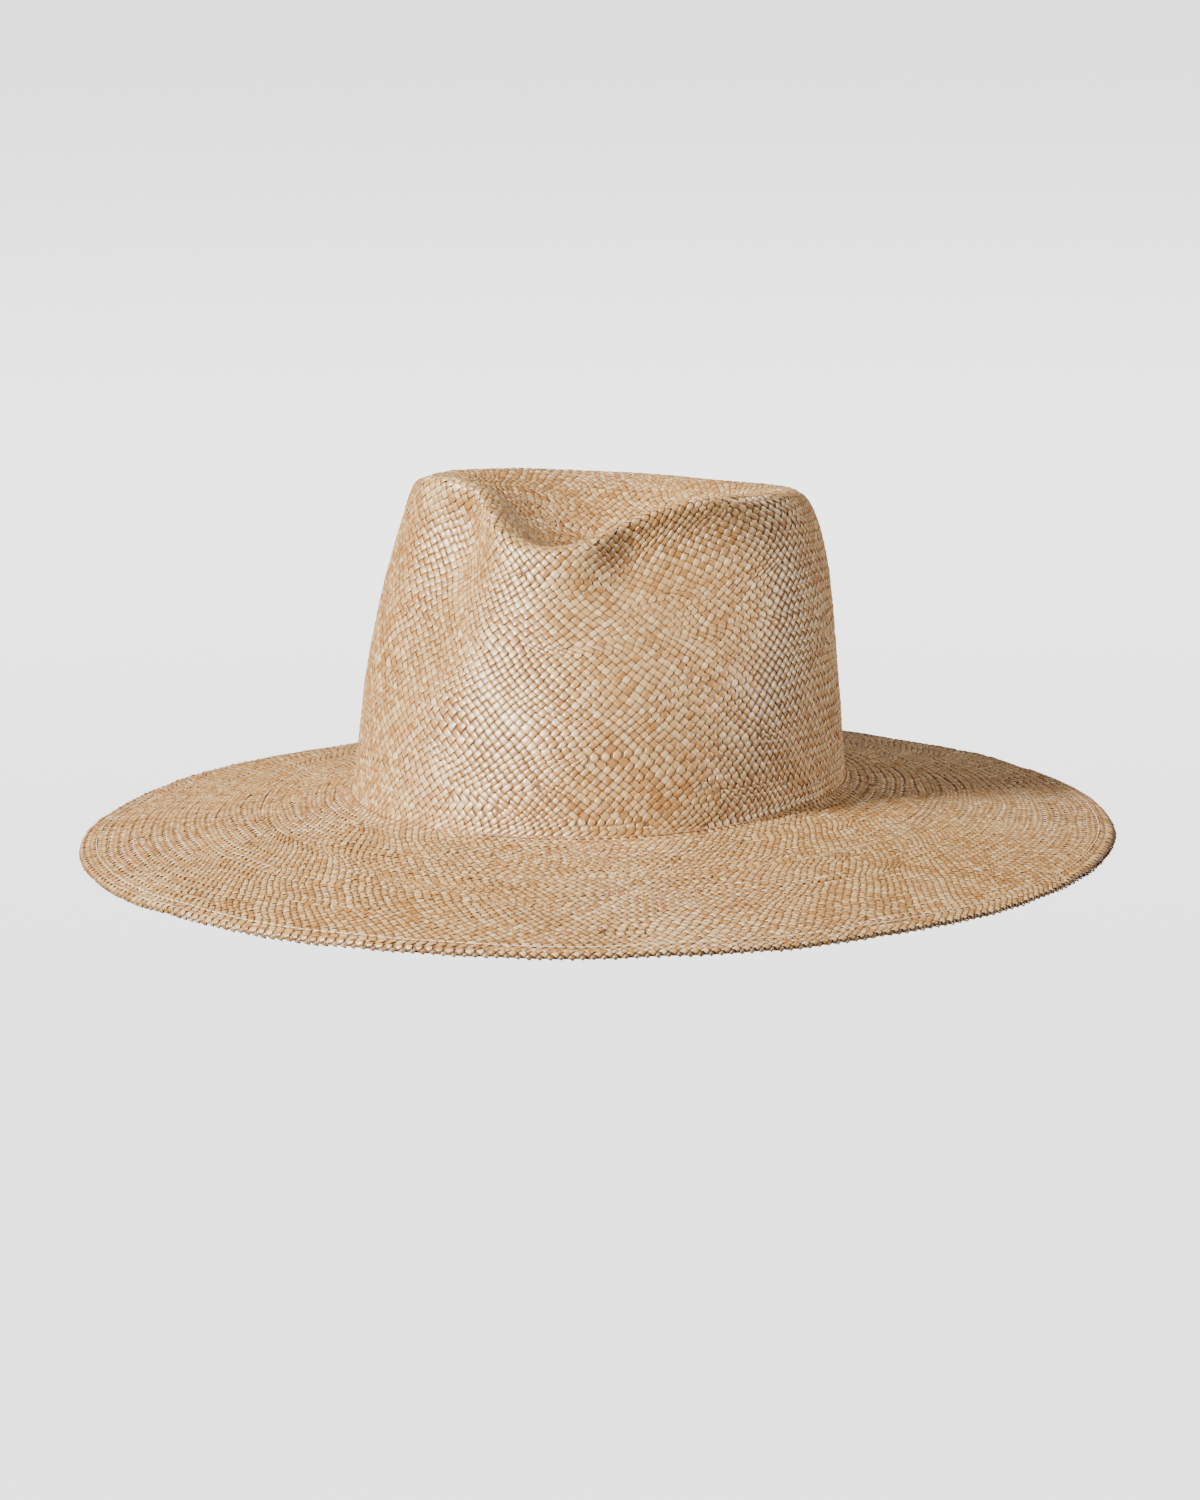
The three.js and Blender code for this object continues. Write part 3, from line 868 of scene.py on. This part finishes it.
def alongRow(row, pitch, lift, seed, drift):
    # stitch places once round the hat on one row of the sheet, lifted off its middle
    length = np.interp(row, np.arange(rowCount), ringLengths)
    count = int(length / pitch)
    generator = np.random.default_rng(seed)
    turn = (np.arange(count) + generator.normal(size=count) * stitchJitter) / count
    rows = row + drift * generator.normal(size=count)
    up = onSheet(turn, rows, sheetNormals)
    centre = onSheet(turn, rows, sheetPoints) + up * lift
    reach = 0.3 / count
    way = onSheet(turn + reach, rows, sheetPoints) - onSheet(turn - reach, rows, sheetPoints)
    return centre, way, up


def joinStitches(parts):
    return [np.concatenate([part[k] for part in parts]) for k in range(3)]


def makeGrainGroup():
    # fine grain shared by the sewn materials; a value and nothing else
    group = bpy.data.node_groups.new("fineGrain", "ShaderNodeTree")
    group.interface.new_socket("Scale", in_out="INPUT", socket_type="NodeSocketFloat")
    group.interface.new_socket("Stretch", in_out="INPUT", socket_type="NodeSocketVector")
    group.interface.new_socket("Value", in_out="OUTPUT", socket_type="NodeSocketFloat")
    given = group.nodes.new("NodeGroupInput")
    result = group.nodes.new("NodeGroupOutput")
    place = group.nodes.new("ShaderNodeTexCoord")
    stretch = group.nodes.new("ShaderNodeVectorMath")
    stretch.operation = "MULTIPLY"
    noise = group.nodes.new("ShaderNodeTexNoise")
    noise.inputs["Detail"].default_value = 4
    group.links.new(place.outputs["Object"], stretch.inputs[0])
    group.links.new(given.outputs["Stretch"], stretch.inputs[1])
    group.links.new(stretch.outputs[0], noise.inputs["Vector"])
    group.links.new(given.outputs["Scale"], noise.inputs["Scale"])
    group.links.new(noise.outputs["Fac"], result.inputs["Value"])
    return group


grainGroup = makeGrainGroup()


def makeSewn(name, look):
    # two close tones and a relief from fine grain, with ribs where the cloth is woven
    material, tree, shader = newMaterial(name)
    nodes, links = tree.nodes, tree.links
    grain = nodes.new("ShaderNodeGroup")
    grain.node_tree = grainGroup
    grain.inputs["Scale"].default_value = look["grainScale"]
    grain.inputs["Stretch"].default_value = look.get("grainStretch", (1, 1, 1))
    ramp = nodes.new("ShaderNodeValToRGB")
    ramp.color_ramp.elements[0].position = 0.3
    ramp.color_ramp.elements[0].color = (*look["shade"], 1)
    ramp.color_ramp.elements[1].position = 0.7
    ramp.color_ramp.elements[1].color = (*look["colour"], 1)
    links.new(grain.outputs["Value"], ramp.inputs[0])
    links.new(ramp.outputs["Color"], shader.inputs["Base Color"])
    shader.inputs["Roughness"].default_value = look["roughness"]
    height = grain.outputs["Value"]
    for direction in look.get("threads", ()):
        place = nodes.new("ShaderNodeTexCoord")
        wave = nodes.new("ShaderNodeTexWave")
        wave.bands_direction = direction
        wave.inputs["Scale"].default_value = look["threadScale"]
        wave.inputs["Distortion"].default_value = 0.6
        links.new(place.outputs["Object"], wave.inputs["Vector"])
        add = nodes.new("ShaderNodeMath")
        links.new(height, add.inputs[0])
        links.new(wave.outputs["Fac"], add.inputs[1])
        height = add.outputs[0]
    relief = nodes.new("ShaderNodeBump")
    relief.inputs["Strength"].default_value = look["relief"]
    relief.inputs["Distance"].default_value = 0.0002
    links.new(height, relief.inputs["Height"])
    links.new(relief.outputs["Normal"], shader.inputs["Normal"])
    return material


sewnLooks = {
    "hemThread": {
        "colour": (0.72, 0.58, 0.4), "shade": (0.6, 0.46, 0.29), "roughness": 0.6,
        "grainScale": 2500, "relief": 0.5,
    },
    "bandThread": {
        "colour": (0.4, 0.21, 0.09), "shade": (0.27, 0.12, 0.045), "roughness": 0.6,
        "grainScale": 2500, "relief": 0.5,
    },
    "leather": {
        "colour": (0.4, 0.22, 0.1), "shade": (0.29, 0.145, 0.058), "roughness": 0.42,
        "grainScale": 900, "grainStretch": (1, 1, 0.8), "relief": 0.55,
    },
    "reed": {
        "colour": (0.34, 0.19, 0.09), "shade": (0.22, 0.11, 0.045), "roughness": 0.5,
        "grainScale": 1600, "grainStretch": (1, 1, 2), "relief": 0.3,
    },
    "tape": {
        "colour": (0.34, 0.19, 0.09), "shade": (0.25, 0.13, 0.06), "roughness": 0.7,
        "grainScale": 1500, "threads": ("Z",), "threadScale": 330, "relief": 0.7,
    },
    "ribbon": {
        "colour": (0.28, 0.15, 0.065), "shade": (0.2, 0.1, 0.04), "roughness": 0.38,
        "grainScale": 1200, "grainStretch": (0.3, 1, 3),
        "threads": ("X",), "threadScale": 420, "relief": 0.4,
    },
    "labelCloth": {
        "colour": (0.84, 0.8, 0.7), "shade": (0.74, 0.69, 0.57), "roughness": 0.8,
        "grainScale": 1800, "threads": ("X", "Z"), "threadScale": 500, "relief": 0.6,
    },
}
sewn = {name: makeSewn(name, look) for name, look in sewnLooks.items()}
print("sewn materials made")

hemStitches = {
    "inFromEdge": 5.0, "pitch": 3.0, "length": 2.7, "thickness": 0.5, "lift": 0.66,
    "drift": 0.12, "seeds": (5, 6),
}


def makeHemStitches(settings):
    row = edgeRow - settings["inFromEdge"] / rowStep
    lifts = (settings["lift"], -strawShape["hemDrop"] - settings["lift"])
    pitch, drift = settings["pitch"], settings["drift"]
    lines = [alongRow(row, pitch, lift, seed, drift) for lift, seed in zip(lifts, settings["seeds"])]
    piece = makeStitches("hem_stitches", *joinStitches(lines), settings["length"], settings["thickness"])
    joinPiece(piece, ("hem_thread",), sewn["hemThread"])


makeHemStitches(hemStitches)

band = {
    "bottom": 2.4, "height": 32.0, "setIn": 1.4, "thickness": 1.0, "gap": 3.0, "steps": 288,
    # heights up the band, and how deep it is pressed in at each: a line near the top
    "levels": (0, 0.8, 3, 7, 12, 17, 22, 26, 28.6, 29.0, 29.3, 29.6, 30.4, 32),
    "pressed": (0, 0, 0, 0, 0, 0, 0, 0, 0, 0.2, 0.3, 0.2, 0, -0.1),
    "edgeRound": 0.3,
    "crease": {"pitch": 2.9, "length": 2.1, "thickness": 0.58, "lift": 0.76, "seed": 8, "drift": 0.2},
    "seam": {"height": 4.4, "pitch": 2.8, "length": 2.2, "thickness": 0.42, "proud": 0.08, "reach": 0.485},
}


def makeBand(settings):
    gapTurn = settings["gap"] / 2 / ringLengths[creaseRow]
    turns = np.linspace(-0.5 + gapTurn, 0.5 - gapTurn, settings["steps"] + 1)
    levels = settings["bottom"] + np.array(settings["levels"], float)
    turnGrid, levelGrid = np.meshgrid(turns, levels, indexing="ij")
    outer = wallSpot(turnGrid, levelGrid, settings["setIn"]).reshape(*turnGrid.shape, 3)
    innerIn = settings["setIn"] + settings["thickness"] - np.array(settings["pressed"])[None] + 0 * turnGrid
    inner = wallSpot(turnGrid, levelGrid, innerIn).reshape(*turnGrid.shape, 3)
    piece = makeShell("sweatband_leather", outer, inner, settings["edgeRound"])
    joinPiece(piece, ("sweatband",), sewn["leather"])


def makeBandStitches(settings):
    # one line shows along the crease outside, the other holds the reed inside
    crease, seam = settings["crease"], settings["seam"]
    outside = alongRow(creaseRow, crease["pitch"], crease["lift"], crease["seed"], crease["drift"])
    count = int(ringLengths[creaseRow] * 2 * seam["reach"] / seam["pitch"])
    turns = np.linspace(-seam["reach"], seam["reach"], count)
    setIn = settings["setIn"] + settings["thickness"] + seam["proud"]
    centre = wallSpot(turns, seam["height"], setIn)
    step = 0.001
    way = wallSpot(turns + step, seam["height"], setIn) - wallSpot(turns - step, seam["height"], setIn)
    up = wallSpot(turns, seam["height"], setIn + 1) - centre
    places = joinStitches([outside, (centre, way, up)])
    onCrease = np.arange(len(places[0])) < len(outside[0])
    lengths = np.where(onCrease, crease["length"], seam["length"])
    thickness = np.where(onCrease, crease["thickness"], seam["thickness"])
    piece = makeStitches("sweatband_stitches", *places, lengths, thickness)
    joinPiece(piece, ("sweatband_thread",), sewn["bandThread"])


makeBand(band)
makeBandStitches(band)

reed = {
    "height": 1.2, "inFromBand": 0.9, "radius": 0.85, "steps": 720, "sides": 12,
    "strands": 3, "twists": 150, "ridge": 0.09,
}


def makeReed(settings):
    turns = np.arange(settings["steps"]) / settings["steps"]
    swing = np.arange(settings["sides"]) / settings["sides"] * 2 * math.pi
    turnGrid, swingGrid = np.meshgrid(turns, swing, indexing="ij")
    lay = np.cos(settings["strands"] * swingGrid + 2 * math.pi * settings["twists"] * turnGrid)
    radius = settings["radius"] * (1 + settings["ridge"] * lay)
    height = settings["height"] + np.sin(swingGrid) * radius
    setIn = band["setIn"] + settings["inFromBand"] + np.cos(swingGrid) * radius
    points = wallSpot(turnGrid, height, setIn)
    piece = makeRing("sweatband_reed_cord", points.reshape(*turnGrid.shape, 3))
    joinPiece(piece, ("sweatband_reed",), sewn["reed"])


makeReed(reed)
patchRow = creaseRow - 30  # its length turns a patch's width into a share of a turn
patchPoints = 9
patchRound = 0.2


def wallPatch(name, middle, width, bottom, height, setIn, thickness):
    # a thin patch that follows the band's inner face
    reach = width / 2 / ringLengths[patchRow]
    turns = np.linspace(middle - reach, middle + reach, patchPoints)
    levels = np.linspace(bottom, bottom + height, patchPoints)
    turnGrid, levelGrid = np.meshgrid(turns, levels, indexing="ij")
    outer = wallSpot(turnGrid, levelGrid, setIn).reshape(patchPoints, patchPoints, 3)
    inner = wallSpot(turnGrid, levelGrid, setIn + thickness).reshape(patchPoints, patchPoints, 3)
    return makeShell(name, outer, inner, patchRound)


def patchStitches(middle, width, bottom, height, setIn, pitch, sides):
    lines = []
    reach = width / 2 / ringLengths[patchRow]
    for side in sides:
        upright = side in ("left", "right")
        count = int((height if upright else width) / pitch)
        share = (np.arange(count) + 0.5) / count
        if upright:
            turn = np.full(count, middle + (reach if side == "right" else -reach))
            level = bottom + height * share
            step = (0, 0.2)
        else:
            turn = middle - reach + 2 * reach * share
            level = np.full(count, bottom + (height if side == "top" else 0.0))
            step = (0.0003, 0)
        centre = wallSpot(turn, level, setIn)
        way = wallSpot(turn + step[0], level + step[1], setIn) - centre
        lines.append((centre, way, wallSpot(turn, level, setIn + 1) - centre))
    return joinStitches(lines)


tape = {
    "width": 16.0, "height": 26.0, "setIn": 2.7, "thickness": 0.6,
    "stitchIn": (1.2, 1.0), "pitch": 2.4, "stitch": (1.8, 0.36), "proud": 0.06, "sides": ("left", "right"),
}
label = {
    "width": 15.0, "height": 10.0, "setIn": 2.7, "thickness": 0.5,
    "stitchIn": (0.9, 0.9), "pitch": 1.6, "stitch": (1.2, 0.26), "proud": 0.05,
    "sides": ("left", "right", "top", "bottom"),
}
labelLow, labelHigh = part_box("size_label")
labelMiddle = np.array(((labelLow + labelHigh) / 2)[:2]) / mm
labelTurn = np.linalg.norm(sheetPoints[creaseRow - 36, :, :2] - labelMiddle, axis=1).argmin() / turnCount


def sewPatch(name, settings, middle, node, cloth, thread):
    # cloth and thread each give a name, which is not used, and a material
    bottom = band["bottom"] + (band["height"] - settings["height"]) / 2
    setIn, thickness = settings["setIn"], settings["thickness"]
    piece = wallPatch(name, middle, settings["width"], bottom, settings["height"], setIn, thickness)
    joinPiece(piece, (node,), sewn[cloth[1]])
    across, up = settings["stitchIn"]
    places = patchStitches(
        middle, settings["width"] - 2 * across, bottom + up, settings["height"] - 2 * up,
        setIn + thickness + settings["proud"], settings["pitch"], settings["sides"],
    )
    piece = makeStitches(name + "_stitches", *places, *settings["stitch"])
    joinPiece(piece, (), sewn[thread[1]])


tapeLooks = ("band_tape", "tape"), ("band_thread", "bandThread")
labelLooks = ("label_cloth", "labelCloth"), ("label_cloth", "hemThread")
sewPatch("joint_tape", tape, 0.5, "sweatband_joint_tape", *tapeLooks)
sewPatch("blank_label", label, labelTurn, "size_label", *labelLooks)

bow = {
    "height": 16.4, "setIn": 4.4, "reach": 9.2, "endHeight": 4.2, "knotHeight": 1.7,
    "depth": 0.85, "thickness": 0.35, "steps": 28, "across": 6, "gather": 0.18,
    "knot": (2.6, 2.2, 4.0), "knotRound": 0.22,
}


def takeIn(shape, part):
    # adds one bmesh to another
    mesh = bpy.data.meshes.new("part")
    part.to_mesh(mesh)
    part.free()
    shape.from_mesh(mesh)
    bpy.data.meshes.remove(mesh)


def makeBowLoop(settings, side, origin, up, sideways, depth):
    # a flattened ribbon loop, narrow and gathered at the knot and wide at its end
    swing = np.linspace(0, 2 * math.pi, settings["steps"] + 1)
    out = (1 - np.cos(swing)) / 2
    away = settings["depth"] * np.sin(swing) * (0.35 + 0.65 * out)
    path = sideways * (side * settings["reach"] * out)[:, None] + depth * away[:, None]
    way = np.gradient(path, axis=0)
    way /= np.linalg.norm(way, axis=1, keepdims=True)
    normal = np.cross(way, up)
    half = settings["knotHeight"] + (settings["endHeight"] - settings["knotHeight"]) * out ** 0.7
    spread = np.linspace(-1, 1, settings["across"] + 1)
    middle = origin + path[:, None] + up * (half[:, None] * spread[None])[..., None]
    fold = settings["gather"] * np.cos(spread * 3 * math.pi)[None, :, None] * (1 - out)[:, None, None]
    middle = middle + normal[:, None] * fold
    shift = normal[:, None] * settings["thickness"] / 2
    return closeGrids(middle + shift, middle - shift)[0]


def makeBow(settings):
    # two loops and the knot over them, laid against the tape
    low = wallSpot(0.5, settings["height"] - 4, settings["setIn"])[0]
    high = wallSpot(0.5, settings["height"] + 4, settings["setIn"])[0]
    origin = (low + high) / 2
    up = (high - low) / np.linalg.norm(high - low)
    sideways = np.array((1.0, 0.0, 0.0))
    depth = np.cross(sideways, up)
    depth = depth if depth[1] < 0 else -depth
    shape = bmesh.new()
    for side in (-1, 1):
        takeIn(shape, makeBowLoop(settings, side, origin, up, sideways, depth))
    knot = bmesh.new()
    bmesh.ops.create_cube(knot, size=1)
    bmesh.ops.bevel(
        knot, geom=knot.edges, offset=settings["knotRound"], offset_type="OFFSET",
        segments=3, profile=0.5, affect="EDGES", clamp_overlap=True,
    )
    turn = Matrix((sideways, depth, up)).transposed()
    for corner in knot.verts:
        size = Vector([c * k for c, k in zip(corner.co, settings["knot"])])
        corner.co = (turn @ size + Vector(origin)) * mm
    takeIn(shape, knot)
    return finishPiece("ribbon_bow", shape)


joinPiece(makeBow(bow), ("sweatband_bow",), sewn["ribbon"])
print("sewn pieces made")


roomSettings = {
    "floorDrop": 1.3,
    "flat": 4.0,
    "curve": 3.0,
    "curveSteps": 12,
    "wall": 3.0,
    "turnSteps": 64,
    "colour": (0.4, 0.4, 0.402),
    # the brightness that is seen at three heights, and the little that reaches the hat
    "glowSeen": (2.5, 3.1, 2.1),
    "glowHeight": (-1.3, -0.75, -0.1),
    "glowAround": 0.118,
    "skyColour": (0.98, 0.99, 1.0),
    "skyStrength": 0.2,
}


def makeFloorShape(settings):
    # a round sweep: flat floor, curved foot and upright wall, the same from every side
    drop, flat, curve = settings["floorDrop"], settings["flat"], settings["curve"]
    profile = [Vector((0, 0, -drop)), Vector((flat, 0, -drop))]
    for k in range(1, settings["curveSteps"] + 1):
        swing = math.pi / 2 * k / settings["curveSteps"]
        profile.append(Vector((flat + curve * math.sin(swing), 0, -drop + curve * (1 - math.cos(swing)))))
    profile.append(profile[-1] + Vector((0, 0, settings["wall"])))
    shape = bmesh.new()
    corners = [shape.verts.new(point) for point in profile]
    edges = [shape.edges.new(pair) for pair in zip(corners[:-1], corners[1:])]
    bmesh.ops.spin(
        shape, geom=corners + edges, cent=(0, 0, 0), axis=(0, 0, 1),
        angle=2 * math.pi, steps=settings["turnSteps"], use_merge=True,
    )
    bmesh.ops.remove_doubles(shape, verts=shape.verts, dist=0.001)
    floor = finishPiece("floor", shape)
    for polygon in floor.data.polygons:
        polygon.use_smooth = True
    return floor


def makeFloorMaterial(settings):
    material, tree, shader = makePlain("paleFloor", settings["colour"], 0.9)
    nodes, links = tree.nodes, tree.links
    place = nodes.new("ShaderNodeTexCoord")
    split = nodes.new("ShaderNodeSeparateXYZ")
    links.new(place.outputs["Object"], split.inputs[0])
    low, middle, high = settings["glowSeen"]
    add = nodes.new("ShaderNodeMath")
    for k, (start, end) in enumerate(((low, middle), (0, high - middle))):
        part = nodes.new("ShaderNodeMapRange")
        part.interpolation_type = "SMOOTHSTEP"
        part.inputs["From Min"].default_value = settings["glowHeight"][k]
        part.inputs["From Max"].default_value = settings["glowHeight"][k + 1]
        part.inputs["To Min"].default_value = start
        part.inputs["To Max"].default_value = end
        links.new(split.outputs["Z"], part.inputs["Value"])
        links.new(part.outputs["Result"], add.inputs[k])
    ray = nodes.new("ShaderNodeLightPath")  # bright behind the hat without flattening its light
    glow = nodes.new("ShaderNodeMapRange")
    glow.inputs["To Min"].default_value = settings["glowAround"]
    links.new(add.outputs[0], glow.inputs["To Max"])
    links.new(ray.outputs["Is Camera Ray"], glow.inputs["Value"])
    links.new(glow.outputs["Result"], shader.inputs["Emission Strength"])
    shader.inputs["Emission Color"].default_value = (1, 1, 1, 1)
    shader.inputs["Specular IOR Level"].default_value = 0
    return material


def makeRoom(settings):
    floor = makeFloorShape(settings)
    floor.data.materials.append(makeFloorMaterial(settings))
    world = bpy.data.worlds.new("studio")
    world.use_nodes = True
    sky = world.node_tree.nodes["Background"].inputs
    sky["Color"].default_value = (*settings["skyColour"], 1)
    sky["Strength"].default_value = settings["skyStrength"]
    bpy.context.scene.world = world


lights = {
    "keyLight": {"azimuth": -31, "elevation": 31, "size": 0.42, "power": 168, "colour": (1.0, 0.975, 0.94)},
    "sideLight": {"azimuth": 110, "elevation": 20, "size": 0.7, "power": 35, "colour": (1.0, 0.95, 0.88)},
}
lightDistance = 2.2
lightAim = (0, 0, 0.05)


def makeLight(name, settings):
    data = bpy.data.lights.new(name, "AREA")
    data.size = settings["size"]
    data.energy = settings["power"]
    data.color = settings["colour"]
    light = bpy.data.objects.new(name, data)
    back = wayTo(settings["azimuth"], settings["elevation"])
    light.location = Vector(lightAim) + back * lightDistance
    light.rotation_euler = back.to_track_quat("Z", "Y").to_euler()
    bpy.context.scene.collection.objects.link(light)


makeRoom(roomSettings)
for name, settings in lights.items():
    makeLight(name, settings)
print("room lit")
